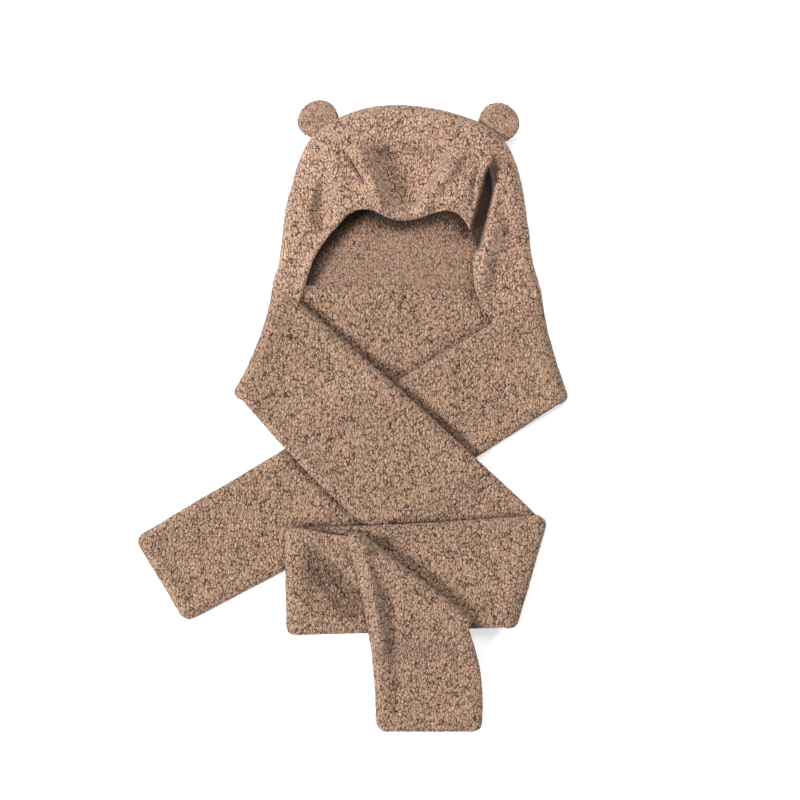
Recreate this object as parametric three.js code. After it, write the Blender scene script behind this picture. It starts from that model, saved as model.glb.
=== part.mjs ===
// Hood with two round ears, sewn to a long doubled fleece scarf and laid out face up.
// Millimetres, +Z up. The wearer's back lies on z = 0 and the crown points to +Y.
// The origin ends up below the middle of the whole article.

import * as THREE from "three";
import { mergeVertices } from "three/addons/utils/BufferGeometryUtils.js";

// Driving sizes
const CLOTH_THICKNESS = 8.5;
const LAYER_GAP = 0.5;
const SEAM_GAP = 0.4;
const STRIP_WIDTH = 137.5;
const STRIP_EDGE_ROUNDING = 6;
const RIGHT_TAIL_LENGTH = 569;
const LEFT_TAIL_LENGTH = 1072;
const DRAPE_RUN = 40;
const NECK_WIDTH = 318;
const HOOD_DEPTH = 231;
const HOOD_RISE = 38;
const HEM_THICKNESS = 10;
const LEFT_PANEL_SEAM = 34;
const RIGHT_PANEL_SEAM = 62;
const EAR_WIDTH = 51;
const EAR_LENGTH = 37;
const EAR_THICKNESS = 15;

// Mesh steps
const STRIP_STEP = 25;
const BEND_STEPS = 6;
const HOOD_RIBS = 56;
const WRAP_STEPS = 6;
const EAR_SIDES = 14;
const OUTLINE_SAMPLES = 400;

const LAYER_PITCH = CLOTH_THICKNESS + LAYER_GAP;
const HALF_THICKNESS = CLOTH_THICKNESS / 2;
const BEND_RADIUS = LAYER_PITCH / 2;

// The strip lies in six straight legs. Each heading is in degrees from +X towards +Y, and each
// length is a share of the tail that the leg belongs to. level counts the legs from the surface up.
const LEGS = [
  { name: "right_tail", tail: "right", share: 1.0, heading: 31.2, level: 1 },
  { name: "neck_band", tail: "band", share: 1.0, heading: 179.0, level: 0 },
  { name: "left_cross", tail: "left", share: 0.4115, heading: -40.7, level: 2 },
  { name: "left_return", tail: "left", share: 0.273, heading: -177.6, level: 3 },
  { name: "left_forth", tail: "left", share: 0.1415, heading: 0, level: 4 },
  { name: "left_end", tail: "left", share: 0.178, heading: -84.6, level: 5 },
];

// Half widths at the two ends and at the folds between the legs, as shares of half the strip's
// width. neck is the edge that is sewn to the hood, free is the other. skew turns a fold line, in
// degrees, and bow is how far its middle bows out, as a share of the strip's width.
const CROSSINGS = [
  { name: "right_end", neck: 0.92, free: 0.88, skew: 0, bow: 0 },
  { name: "right_shoulder", neck: 0.9, free: 1.03, skew: 0, bow: -0.035 },
  { name: "left_shoulder", neck: 1.0, free: 1.05, skew: 0, bow: -0.055 },
  { name: "right_turn", neck: 0.98, free: 1.05, skew: 3, bow: 0 },
  { name: "left_turn", neck: 0.98, free: 0.99, skew: 0, bow: 0 },
  { name: "corner_turn", neck: 1.06, free: 0.97, skew: 4.7, bow: 0 },
  { name: "left_end", neck: 0.95, free: 0.95, skew: -5.4, bow: 0 },
];

// How far each edge bows out halfway along a leg, as shares of the strip's width.
const BOWS = {
  right_tail: { neck: -0.01, free: 0.06 },
  neck_band: { neck: 0.07, free: 0 },
  left_cross: { neck: 0.03, free: 0.13 },
  left_return: { neck: -0.02, free: 0 },
  left_forth: { neck: 0, free: 0 },
  left_end: { neck: -0.07, free: 0.07 },
};

// Rolls and hollows of the strip's upper face. along runs down the leg and across from -1 at the
// free edge to 1 at the neck edge; rise is a share of the cloth's thickness, reach of its width.
const STRIP_RELIEF = [
  { leg: "left_end", from: [0.12, 0.78], to: [0.62, 0.74], rise: 0.35, reach: 0.07 },
  { leg: "left_forth", from: [0.2, -0.1], to: [0.5, -0.3], rise: -0.3, reach: 0.22 },
  { leg: "left_cross", from: [0.3, 0.55], to: [0.75, 0.5], rise: 0.18, reach: 0.2 },
  { leg: "right_tail", from: [0.08, 0.1], to: [0.42, 0.0], rise: 0.15, reach: 0.3 },
];

// Rounding of the strip's two cut ends: shares of the rounded length, of the cloth's thickness and
// of the strip's width.
const END_SECTIONS = [
  { at: 0, thickness: 0.3, width: 0.8 },
  { at: 0.25, thickness: 0.72, width: 0.93 },
  { at: 0.6, thickness: 0.95, width: 0.985 },
];

// Sections of the hood, from the left seam over the crown to the right seam. Places are shares:
// x of half the neck's width, y of the hood's depth. crest is the height of the rolled outer edge
// and rim that of the face opening's edge, both as shares of the hood's rise.
const SECTIONS = [
  { outX: -1.02, outY: 0.119, rimX: -0.78, rimY: 0.076, crest: 0.5, rim: 0.48 },
  { outX: -0.99, outY: 0.27, rimX: -0.724, rimY: 0.184, crest: 0.66, rim: 0.62 },
  { outX: -0.961, outY: 0.432, rimX: -0.638, rimY: 0.27, crest: 0.78, rim: 0.72 },
  { outX: -0.905, outY: 0.584, rimX: -0.535, rimY: 0.357, crest: 0.86, rim: 0.82 },
  { outX: -0.837, outY: 0.73, rimX: -0.472, rimY: 0.4, crest: 0.9, rim: 0.95 },
  { outX: -0.725, outY: 0.852, rimX: -0.386, rimY: 0.432, crest: 0.92, rim: 1.05 },
  { outX: -0.545, outY: 0.934, rimX: -0.283, rimY: 0.432, crest: 0.92, rim: 1.0 },
  { outX: -0.315, outY: 0.99, rimX: -0.157, rimY: 0.395, crest: 0.92, rim: 0.72 },
  { outX: -0.047, outY: 1.006, rimX: -0.031, rimY: 0.378, crest: 0.92, rim: 0.58 },
  { outX: 0.22, outY: 0.984, rimX: 0.094, rimY: 0.389, crest: 0.92, rim: 0.62 },
  { outX: 0.452, outY: 0.942, rimX: 0.213, rimY: 0.416, crest: 0.92, rim: 0.9 },
  { outX: 0.65, outY: 0.88, rimX: 0.323, rimY: 0.427, crest: 0.92, rim: 1.05 },
  { outX: 0.774, outY: 0.8, rimX: 0.417, rimY: 0.4, crest: 0.92, rim: 0.95 },
  { outX: 0.857, outY: 0.68, rimX: 0.488, rimY: 0.324, crest: 0.92, rim: 0.8 },
  { outX: 0.913, outY: 0.519, rimX: 0.528, rimY: 0.243, crest: 0.9, rim: 0.9 },
  { outX: 0.952, outY: 0.346, rimX: 0.512, rimY: 0.135, crest: 0.84, rim: 0.86 },
  { outX: 0.98, outY: 0.162, rimX: 0.535, rimY: 0.0, crest: 0.64, rim: 0.66 },
];

// Ridges, valleys and the bowl of the hood's front, each a soft roll along a line. Places are
// shares as in the sections, rise is a share of the hood's rise and reach of the neck's width.
const HOOD_RELIEF = [
  { name: "left_ridge", from: [-0.48, 0.76], to: [-0.17, 0.45], rise: 0.32, reach: 0.055 },
  { name: "right_ridge", from: [0.5, 0.76], to: [0.1, 0.46], rise: 0.32, reach: 0.055 },
  { name: "crown_bowl", from: [-0.06, 0.76], to: [-0.03, 0.55], rise: -0.42, reach: 0.095 },
  { name: "right_valley", from: [0.68, 0.74], to: [0.535, 0.3], rise: -0.5, reach: 0.032 },
  { name: "right_panel", from: [0.78, 0.56], to: [0.66, 0.2], rise: 0.22, reach: 0.06 },
  { name: "left_valley", from: [-0.8, 0.64], to: [-0.66, 0.38], rise: -0.2, reach: 0.045 },
  { name: "left_roll", from: [-0.62, 0.7], to: [-0.48, 0.46], rise: 0.12, reach: 0.045 },
];

// Ears: x and y of the middle of the seam, as shares like the sections' places, and the direction
// that the ear points in, in degrees.
const EARS = [
  { name: "ear_left", color: 0xa78d7a, x: -0.645, y: 0.885, heading: 133 },
  { name: "ear_right", color: 0xae9280, x: 0.668, y: 0.868, heading: 52 },
];

// Sections of an ear from its seam to its tip, as shares of its length, width and thickness.
const EAR_SECTIONS = [
  { along: 0.0, width: 0.78, thickness: 0.55 },
  { along: 0.1, width: 0.86, thickness: 0.75 },
  { along: 0.28, width: 0.97, thickness: 0.94 },
  { along: 0.48, width: 1.0, thickness: 1.0 },
  { along: 0.67, width: 0.92, thickness: 0.94 },
  { along: 0.82, width: 0.74, thickness: 0.78 },
  { along: 0.93, width: 0.48, thickness: 0.54 },
  { along: 0.985, width: 0.22, thickness: 0.28 },
];

const radians = THREE.MathUtils.degToRad;
const lerp = THREE.MathUtils.lerp;
const clamp = THREE.MathUtils.clamp;

function direction(degrees) {
  return new THREE.Vector2(Math.cos(radians(degrees)), Math.sin(radians(degrees)));
}

function smooth(x) {
  const t = clamp(x, 0, 1);
  return t * t * (3 - 2 * t);
}

// Distance from a point to the line between two points
function distanceToSegment(point, start, end) {
  const line = end.clone().sub(start);
  const t = clamp(point.clone().sub(start).dot(line) / line.lengthSq(), 0, 1);
  return point.distanceTo(start.clone().addScaledVector(line, t));
}

// Height of a soft roll of the given rise and reach along a line
function rollHeight(point, start, end, rise, reach) {
  const distance = distanceToSegment(point, start, end);
  return rise * Math.exp(-((distance / reach) ** 2));
}

// Strip, laid out in plan

function legLength(leg, bandLength) {
  const tails = { right: RIGHT_TAIL_LENGTH, band: bandLength, left: LEFT_TAIL_LENGTH };
  return tails[leg.tail] * leg.share;
}

// The neck edge of the band is as long as the hood is wide, so the band's middle line is longer
// by what the two slanting shoulder folds add.
function neckBandLength() {
  const slant = (incoming, outgoing) => {
    const halfTurn = Math.abs(incoming.heading - outgoing.heading) / 2;
    return 1 / Math.tan(radians(halfTurn > 90 ? 180 - halfTurn : halfTurn));
  };
  const slants = slant(LEGS[0], LEGS[1]) + slant(LEGS[1], LEGS[2]);
  return NECK_WIDTH + (STRIP_WIDTH / 2) * slants;
}

// A crossing is an end of the strip or a fold: its middle, the unit direction of its line towards
// the neck edge, and how far it reaches towards each edge.
function layOutCrossings() {
  const bandLength = neckBandLength();
  const lengths = LEGS.map((leg) => legLength(leg, bandLength));
  const ways = LEGS.map((leg) => direction(leg.heading));
  const start = new THREE.Vector2()
    .addScaledVector(ways[1], -lengths[1] / 2)
    .addScaledVector(ways[0], -lengths[0]);
  const middles = [start];
  for (let i = 0; i < LEGS.length; i += 1) {
    middles.push(middles[i].clone().addScaledVector(ways[i], lengths[i]));
  }
  return CROSSINGS.map((crossing, i) => {
    const incoming = ways[Math.max(i - 1, 0)];
    const outgoing = ways[Math.min(i, LEGS.length - 1)];
    const isEnd = i === 0 || i === LEGS.length;
    const neckSide = i === LEGS.length ? neckNormal(i - 1) : neckNormal(i);
    const line = isEnd ? neckSide.clone() : incoming.clone().add(outgoing).normalize();
    line.rotateAround(new THREE.Vector2(), radians(crossing.skew));
    if (line.dot(neckSide) < 0) line.negate();
    const reach = (STRIP_WIDTH / 2) * (1 / Math.abs(line.dot(neckSide)));
    const outward = new THREE.Vector2(line.y, -line.x);
    if (outward.dot(incoming) < 0) outward.negate();
    return {
      middle: middles[i],
      line,
      outward,
      neck: reach * crossing.neck,
      free: reach * crossing.free,
      bow: STRIP_WIDTH * crossing.bow,
    };
  });
}

// Unit normal of a leg towards its neck edge: each fold turns the strip over
function neckNormal(legIndex) {
  const way = direction(LEGS[legIndex].heading);
  const side = legIndex % 2 === 0 ? 1 : -1;
  return new THREE.Vector2(-way.y * side, way.x * side);
}

const crossings = layOutCrossings();

function crossingPoint(crossing, across) {
  const reach = across >= 0 ? crossing.neck : crossing.free;
  return crossing.middle
    .clone()
    .addScaledVector(crossing.line, reach * across)
    .addScaledVector(crossing.outward, crossing.bow * (1 - across * across));
}

// Point of a leg in plan: along from 0 to 1, across from -1 at the free edge to 1 at the neck edge
function legPoint(legIndex, along, across) {
  const start = crossingPoint(crossings[legIndex], across);
  const end = crossingPoint(crossings[legIndex + 1], across);
  const bows = BOWS[LEGS[legIndex].name];
  const bow = (across >= 0 ? bows.neck : bows.free) * STRIP_WIDTH;
  const bulge = bow * Math.abs(across) * 4 * along * (1 - along);
  const side = Math.sign(across);
  return start.lerp(end, along).addScaledVector(neckNormal(legIndex), bulge * side);
}

// Outline of a leg in plan, as the corners of a closed polygon
function legOutline(legIndex) {
  const steps = 8;
  const outline = [];
  for (let i = 0; i <= steps; i += 1) outline.push(legPoint(legIndex, i / steps, 1));
  for (let i = steps; i >= 0; i -= 1) outline.push(legPoint(legIndex, i / steps, -1));
  return outline;
}

const outlines = LEGS.map((leg, i) => legOutline(i));

// Distance outside a leg's outline, and 0 inside it
function distanceOutside(legIndex, point) {
  const outline = outlines[legIndex];
  let inside = false;
  let nearest = Infinity;
  for (let i = 0, j = outline.length - 1; i < outline.length; j = i, i += 1) {
    const a = outline[i];
    const b = outline[j];
    nearest = Math.min(nearest, distanceToSegment(point, a, b));
    const crosses = a.y > point.y !== b.y > point.y;
    if (crosses && point.x < ((b.x - a.x) * (point.y - a.y)) / (b.y - a.y) + a.x) inside = !inside;
  }
  return inside ? 0 : nearest;
}

// Height of the middle of a leg's cloth: it rests on each lower leg and comes down beside it
function legHeight(legIndex, point) {
  const level = LEGS[legIndex].level;
  let height = HALF_THICKNESS;
  LEGS.forEach((lower, i) => {
    if (lower.level >= level) return;
    const beyond = distanceOutside(i, point) - STRIP_EDGE_ROUNDING;
    height += LAYER_PITCH * (1 - smooth(beyond / DRAPE_RUN));
  });
  return height;
}

function stripRelief(legIndex, point) {
  let height = 0;
  for (const roll of STRIP_RELIEF) {
    if (roll.leg !== LEGS[legIndex].name) continue;
    const start = legPoint(legIndex, ...roll.from);
    const end = legPoint(legIndex, ...roll.to);
    const reach = roll.reach * STRIP_WIDTH;
    height += rollHeight(point, start, end, roll.rise * CLOTH_THICKNESS, reach);
  }
  return height;
}

// Stations across the strip, closer together where the edges are rounded
function acrossStations() {
  const rounding = STRIP_EDGE_ROUNDING / (STRIP_WIDTH / 2);
  const side = [0.34, 0.66, 1 - 1.1 * rounding, 1 - 0.35 * rounding];
  return [...side.map((v) => -v).reverse(), 0, ...side];
}

function edgeThinning(across) {
  const rounding = STRIP_EDGE_ROUNDING / (STRIP_WIDTH / 2);
  const into = clamp((Math.abs(across) - 1 + rounding) / rounding, 0, 1);
  return Math.sqrt(1 - into * into);
}

// One ring round the strip: each station has a middle point, the direction of the cloth's first
// face, a thinning and the extra height of whichever face lies on top
function ringOf(stations) {
  const first = stations.map((s) => facePoint(s, 1));
  const second = stations.map((s) => facePoint(s, -1)).reverse();
  const start = stations[0];
  const end = stations[stations.length - 1];
  return [start.rim, ...first, end.rim, ...second];
}

function facePoint(station, side) {
  const offset = HALF_THICKNESS * station.thinning;
  const point = station.middle.clone().addScaledVector(station.face, offset * side);
  if (station.face.z * side > 0.9) point.z += station.relief * station.thinning;
  return point;
}

// Stations of a section, with its two edges as the ring's ends
function section(placeAt, face, thinning, narrowing) {
  const stations = acrossStations().map((across) => {
    const place = placeAt(across * narrowing);
    return { ...place, face, thinning: edgeThinning(across) * thinning };
  });
  stations[0].rim = placeAt(-narrowing).middle;
  stations[stations.length - 1].rim = placeAt(narrowing).middle;
  return ringOf(stations);
}

function flatSection(legIndex, along, faceUp, thinning = 1, narrowing = 1) {
  const placeAt = (across) => {
    const plan = legPoint(legIndex, along, across);
    const height = legHeight(legIndex, plan);
    return { middle: new THREE.Vector3(plan.x, plan.y, height), relief: stripRelief(legIndex, plan) };
  };
  return section(placeAt, new THREE.Vector3(0, 0, faceUp), thinning, narrowing);
}

// Section in a fold between two legs, turned by an angle from straight down to straight up
function bendSection(foldIndex, turn, faceOut) {
  const crossing = crossings[foldIndex];
  const outward = crossing.outward;
  const placeAt = (across) => {
    const plan = crossingPoint(crossing, across);
    const heights = [legHeight(foldIndex - 1, plan), legHeight(foldIndex, plan)];
    const middle = (heights[0] + heights[1]) / 2;
    const half = Math.abs(heights[1] - heights[0]) / 2;
    const x = plan.x + outward.x * BEND_RADIUS * Math.cos(turn);
    const y = plan.y + outward.y * BEND_RADIUS * Math.cos(turn);
    return { middle: new THREE.Vector3(x, y, middle + half * Math.sin(turn)), relief: 0 };
  };
  const flat = Math.cos(turn) * faceOut;
  const face = new THREE.Vector3(outward.x * flat, outward.y * flat, Math.sin(turn) * faceOut);
  return section(placeAt, face, 1, 1);
}

// Rings of the whole strip, from the right tail's end to the left tail's end
function stripRings() {
  const rings = [];
  let faceUp = 1;
  LEGS.forEach((leg, i) => {
    const length = crossings[i].middle.distanceTo(crossings[i + 1].middle);
    const steps = Math.ceil(length / STRIP_STEP);
    const rounding = (2 * STRIP_EDGE_ROUNDING) / length;
    const isFirst = i === 0;
    const isLast = i === LEGS.length - 1;
    if (isFirst) {
      for (const end of END_SECTIONS) {
        rings.push(flatSection(i, end.at * rounding, faceUp, end.thickness, end.width));
      }
    }
    const from = isFirst ? rounding : 0;
    const to = isLast ? 1 - rounding : 1;
    for (let k = 0; k <= steps; k += 1) {
      rings.push(flatSection(i, lerp(from, to, k / steps), faceUp));
    }
    if (isLast) {
      for (const end of [...END_SECTIONS].reverse()) {
        rings.push(flatSection(i, 1 - end.at * rounding, faceUp, end.thickness, end.width));
      }
      return;
    }
    const rises = LEGS[i + 1].level > leg.level ? 1 : -1;
    const faceOut = -rises * faceUp;
    for (let k = 1; k < BEND_STEPS; k += 1) {
      const turn = rises * lerp(-Math.PI / 2, Math.PI / 2, k / BEND_STEPS);
      rings.push(bendSection(i + 1, turn, faceOut));
    }
    faceUp = -faceUp;
  });
  return rings;
}

// Hood

const leftCorner = crossingPoint(crossings[2], 1);
const rightCorner = crossingPoint(crossings[1], 1);
const hoodMiddle = leftCorner.clone().lerp(rightCorner, 0.5);
const seamHeight = HALF_THICKNESS + LAYER_PITCH;

function hoodPlace(x, y) {
  return new THREE.Vector2(hoodMiddle.x + (x * NECK_WIDTH) / 2, hoodMiddle.y + y * HOOD_DEPTH);
}

// The two side panels end on the tails that are folded forward below them
function seamSection(foldIndex, legIndex, seamLength, startsThere) {
  const fold = crossings[foldIndex];
  const corner = crossingPoint(fold, 1);
  const length = crossings[legIndex].middle.distanceTo(crossings[legIndex + 1].middle);
  const along = seamLength / length;
  const edge = legPoint(legIndex, startsThere ? along : 1 - along, 1);
  const gap = neckNormal(legIndex).multiplyScalar(SEAM_GAP);
  return {
    out: corner.clone().addScaledVector(fold.outward, BEND_RADIUS).addScaledVector(fold.line, SEAM_GAP),
    rim: edge.add(gap),
    crest: seamHeight,
    rimHeight: seamHeight,
  };
}

function hoodSections() {
  const rows = SECTIONS.map((row) => ({
    out: hoodPlace(row.outX, row.outY),
    rim: hoodPlace(row.rimX, row.rimY),
    crest: row.crest * HOOD_RISE,
    rimHeight: row.rim * HOOD_RISE,
  }));
  const left = seamSection(2, 2, LEFT_PANEL_SEAM, true);
  const right = seamSection(1, 0, RIGHT_PANEL_SEAM, false);
  return [left, ...rows, right];
}

// Smooth curves through the hood's sections: the outer edge and the face opening's edge. The
// outer edge's points are on the cloth's outside, so its middle lies half a thickness inside.
const sections = hoodSections();
const outerCurve = new THREE.CatmullRomCurve3(
  sections.map((s) => new THREE.Vector3(s.out.x, s.out.y, s.crest)), false, "centripetal");
const rimCurve = new THREE.CatmullRomCurve3(
  sections.map((s) => new THREE.Vector3(s.rim.x, s.rim.y, s.rimHeight)), false, "centripetal");

// Direction into the hood at a share of the way round its outer edge
function inwardAt(share) {
  const tangent = outerCurve.getTangent(share);
  const inward = new THREE.Vector2(tangent.y, -tangent.x).normalize();
  const spacing = 1 / (sections.length - 1);
  const leftBlend = smooth(share / spacing);
  const rightBlend = smooth((1 - share) / spacing);
  const blended = crossings[2].outward.clone().negate().lerp(inward, leftBlend);
  return crossings[1].outward.clone().negate().lerp(blended, rightBlend).normalize();
}

function hoodRelief(point) {
  let height = 0;
  for (const roll of HOOD_RELIEF) {
    const start = hoodPlace(...roll.from);
    const end = hoodPlace(...roll.to);
    height += rollHeight(point, start, end, roll.rise * HOOD_RISE, roll.reach * NECK_WIDTH);
  }
  return height;
}

// Keeps the front layer above the back layer without a sharp edge
function settle(height) {
  const lowest = HALF_THICKNESS + FRONT_CLEARANCE * CLOTH_THICKNESS;
  const soft = CLOTH_THICKNESS / 2;
  const above = height - lowest;
  return lowest + (above + Math.sqrt(above * above + soft * soft)) / 2;
}

// The front's lowest middle height over the back's, in thicknesses, how much wider the rolled edge
// grows in front and at the back where it stands high, the share of the outer edge at each end
// along which the roll grows, the share of the front next to the roll where its relief fades, and
// the share of the neck band's edge at each end that the back leaves free.
const FRONT_CLEARANCE = 1.25;
const FRONT_PUFF = 1.0;
const BACK_PUFF = 0.35;
const END_BLEND = 1 / 12;
const RELIEF_FADE = 0.3125;
const BACK_SEAM_INSET = 0.07;

// Shares of the way from the face opening's edge to the rolled outer edge
const FRONT_STATIONS = [
  { share: 0.0, thickness: 0.3 },
  { share: 0.03, thickness: 0.8 },
  { share: 0.1, thickness: 1.0, hem: true },
  { share: 0.2, thickness: 1.0 },
  { share: 0.32, thickness: 1.0 },
  { share: 0.44, thickness: 1.0 },
  { share: 0.56, thickness: 1.0 },
  { share: 0.68, thickness: 1.0 },
  { share: 0.8, thickness: 1.0 },
  { share: 0.9, thickness: 1.0 },
];
const BACK_STATIONS = [0, 0.3, 0.6, 1];

// What the front and the back share at a place along the hood's outer edge: the direction into the
// hood, the middle of the rolled edge, its radii and heights, and how far the roll has grown
function rolledEdge(share) {
  const outer = outerCurve.getPoint(share);
  const inward = inwardAt(share);
  const atEnds = Math.min(smooth(share / END_BLEND), smooth((1 - share) / END_BLEND));
  const out = new THREE.Vector2(outer.x, outer.y).addScaledVector(inward, HALF_THICKNESS * atEnds);
  const crest = outer.z;
  const puff = Math.max(crest - seamHeight, 0);
  const frontRadius = BEND_RADIUS + FRONT_PUFF * puff;
  const backRadius = BEND_RADIUS + BACK_PUFF * puff;
  return { inward, atEnds, out, crest, frontRadius, backRadius };
}

// One rib of the hood's front, from the face opening over the front and round the outer edge:
// middle points with the direction of the outer face and half a thickness
function frontRib(share) {
  const { inward, atEnds, out, crest, frontRadius, backRadius } = rolledEdge(share);
  const rim = rimCurve.getPoint(share);
  const frontTop = out.clone().addScaledVector(inward, frontRadius);
  const rimPlan = new THREE.Vector2(rim.x, rim.y);
  const rib = [];
  for (const station of FRONT_STATIONS) {
    const plan = rimPlan.clone().lerp(frontTop, station.share);
    const level = lerp(rim.z, crest, smooth(station.share));
    const fade = smooth((1 - station.share) / RELIEF_FADE) * atEnds;
    const raised = level + hoodRelief(plan) * fade;
    const height = lerp(raised, settle(raised), atEnds);
    const full = station.hem ? HEM_THICKNESS : CLOTH_THICKNESS;
    const half = (lerp(CLOTH_THICKNESS, full, atEnds) / 2) * station.thickness;
    rib.push({ middle: new THREE.Vector3(plan.x, plan.y, height), face: new THREE.Vector3(0, 0, 1), half });
  }
  const centre = (crest + HALF_THICKNESS) / 2;
  const rise = (crest - HALF_THICKNESS) / 2;
  for (let k = 0; k <= WRAP_STEPS; k += 1) {
    const turn = lerp(Math.PI / 2, -Math.PI / 2, k / WRAP_STEPS);
    const radius = turn >= 0 ? frontRadius : backRadius;
    const inside = radius * (1 - Math.cos(turn));
    const plan = out.clone().addScaledVector(inward, inside);
    const across = new THREE.Vector2(Math.cos(turn) / radius, Math.sin(turn) / rise).normalize();
    const face = new THREE.Vector3(-inward.x * across.x, -inward.y * across.x, across.y);
    const middle = new THREE.Vector3(plan.x, plan.y, centre + rise * Math.sin(turn));
    rib.push({ middle, face, half: HALF_THICKNESS });
  }
  return rib;
}

// One rib of the hood's back, from below the rolled edge down to the neck seam
function backRib(share) {
  const { inward, out, backRadius } = rolledEdge(share);
  const top = out.clone().addScaledVector(inward, backRadius);
  const seam = legPoint(1, lerp(1 - BACK_SEAM_INSET, BACK_SEAM_INSET, share), 1);
  seam.addScaledVector(neckNormal(1), SEAM_GAP);
  top.addScaledVector(seam.clone().sub(top).normalize(), SEAM_GAP);
  return BACK_STATIONS.map((station) => {
    const plan = top.clone().lerp(seam, station);
    const middle = new THREE.Vector3(plan.x, plan.y, HALF_THICKNESS);
    return { middle, face: new THREE.Vector3(0, 0, -1), half: HALF_THICKNESS };
  });
}

// The rib as a closed ring: out along its outer face and back along its inner face
function ribRing(rib) {
  const outside = rib.map((s) => s.middle.clone().addScaledVector(s.face, s.half));
  const inside = rib.map((s) => s.middle.clone().addScaledVector(s.face, -s.half));
  return [...outside, ...inside.reverse()];
}

function hoodRings(ribAt) {
  const rings = [];
  for (let i = 0; i <= HOOD_RIBS; i += 1) rings.push(ribRing(ribAt(i / HOOD_RIBS)));
  return rings;
}

// Ears

// Height of the middle of the hood's rolled edge, where the ears are sewn on
function earHeight(share) {
  return (outerCurve.getPoint(share).z + HALF_THICKNESS) / 2;
}

// Nearest share of the hood's outer edge to a point
function nearestShare(point) {
  let best = 0;
  let nearest = Infinity;
  for (let i = 0; i <= OUTLINE_SAMPLES; i += 1) {
    const at = outerCurve.getPoint(i / OUTLINE_SAMPLES);
    const distance = Math.hypot(at.x - point.x, at.y - point.y);
    if (distance < nearest) {
      nearest = distance;
      best = i / OUTLINE_SAMPLES;
    }
  }
  return best;
}

// How far along the ear's own direction the hood's outer edge lies, at a distance to the side
function seatAlong(middle, way, side, offset) {
  const tolerance = EAR_WIDTH / 20;
  let reach = -Infinity;
  for (let i = 0; i <= OUTLINE_SAMPLES; i += 1) {
    const at = outerCurve.getPoint(i / OUTLINE_SAMPLES);
    const from = new THREE.Vector2(at.x - middle.x, at.y - middle.y);
    if (Math.abs(from.dot(side) - offset) < tolerance) reach = Math.max(reach, from.dot(way));
  }
  return reach + SEAM_GAP;
}

function earRings(ear) {
  const middle = hoodPlace(ear.x, ear.y);
  const way = direction(ear.heading);
  const side = new THREE.Vector2(-way.y, way.x);
  const height = earHeight(nearestShare(middle));
  return EAR_SECTIONS.map((row) => {
    const ring = [];
    for (let i = 0; i < EAR_SIDES; i += 1) {
      const angle = (2 * Math.PI * i) / EAR_SIDES;
      const offset = (EAR_WIDTH / 2) * row.width * Math.cos(angle);
      const up = (EAR_THICKNESS / 2) * row.thickness * Math.sin(angle);
      const seatOffset = (EAR_WIDTH / 2) * EAR_SECTIONS[0].width * Math.cos(angle);
      const seat = seatAlong(middle, way, side, seatOffset);
      const along = lerp(seat, EAR_LENGTH, row.along);
      const plan = middle.clone().addScaledVector(way, along).addScaledVector(side, offset);
      ring.push(new THREE.Vector3(plan.x, plan.y, height + up));
    }
    return ring;
  });
}

// Solids

// Closed body through rings of equally many points, capped by a fan at each end
function loft(rings, capEnds) {
  const count = rings[0].length;
  const positions = rings.flat().flatMap((p) => [p.x, p.y, p.z]);
  const indices = [];
  const at = (ring, point) => ring * count + (point % count);
  for (let r = 0; r + 1 < rings.length; r += 1) {
    for (let p = 0; p < count; p += 1) {
      indices.push(at(r, p), at(r + 1, p), at(r + 1, p + 1));
      indices.push(at(r, p), at(r + 1, p + 1), at(r, p + 1));
    }
  }
  capEnds(indices, at, rings.length - 1, count);
  const geometry = new THREE.BufferGeometry();
  geometry.setAttribute("position", new THREE.Float32BufferAttribute(positions, 3));
  geometry.setIndex(indices);
  return outwardGeometry(mergeVertices(geometry, 1e-3));
}

// Caps between the two long sides of a flat ring, which face each other point by point
function ladderCaps(indices, at, last, count) {
  for (let p = 0; p < count / 2 - 1; p += 1) {
    const far = count - 1 - p;
    indices.push(at(0, p), at(0, p + 1), at(0, far - 1), at(0, p), at(0, far - 1), at(0, far));
    indices.push(at(last, p), at(last, far - 1), at(last, p + 1), at(last, p), at(last, far), at(last, far - 1));
  }
}

// Caps of a strip's ring, whose first point and middle point are its two edges
function edgeCaps(indices, at, last, count) {
  const half = count / 2;
  for (let p = 0; p < half; p += 1) {
    const near = p;
    const far = (count - p) % count;
    const nextFar = count - p - 1;
    if (p > 0) {
      indices.push(at(0, near), at(0, near + 1), at(0, far));
      indices.push(at(last, near), at(last, far), at(last, near + 1));
    }
    if (p + 1 < half) {
      indices.push(at(0, near + 1), at(0, nextFar), at(0, far));
      indices.push(at(last, near + 1), at(last, far), at(last, nextFar));
    }
  }
}

function signedVolume(geometry) {
  const position = geometry.getAttribute("position");
  const index = geometry.getIndex();
  const [a, b, c] = [new THREE.Vector3(), new THREE.Vector3(), new THREE.Vector3()];
  let volume = 0;
  for (let i = 0; i < index.count; i += 3) {
    a.fromBufferAttribute(position, index.getX(i));
    b.fromBufferAttribute(position, index.getX(i + 1));
    c.fromBufferAttribute(position, index.getX(i + 2));
    volume += a.dot(b.cross(c)) / 6;
  }
  return volume;
}

// The same surface with its faces pointing out, ready to be shaded
function outwardGeometry(geometry) {
  if (signedVolume(geometry) < 0) {
    const index = geometry.getIndex();
    for (let i = 0; i < index.count; i += 3) {
      const second = index.getX(i + 1);
      index.setX(i + 1, index.getX(i + 2));
      index.setX(i + 2, second);
    }
  }
  geometry.computeVertexNormals();
  return geometry;
}

function fleece(color) {
  return new THREE.MeshStandardMaterial({ color, roughness: 0.95, metalness: 0 });
}

function piece(name, geometry, color) {
  const mesh = new THREE.Mesh(geometry, fleece(color));
  mesh.name = name;
  return mesh;
}

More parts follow.
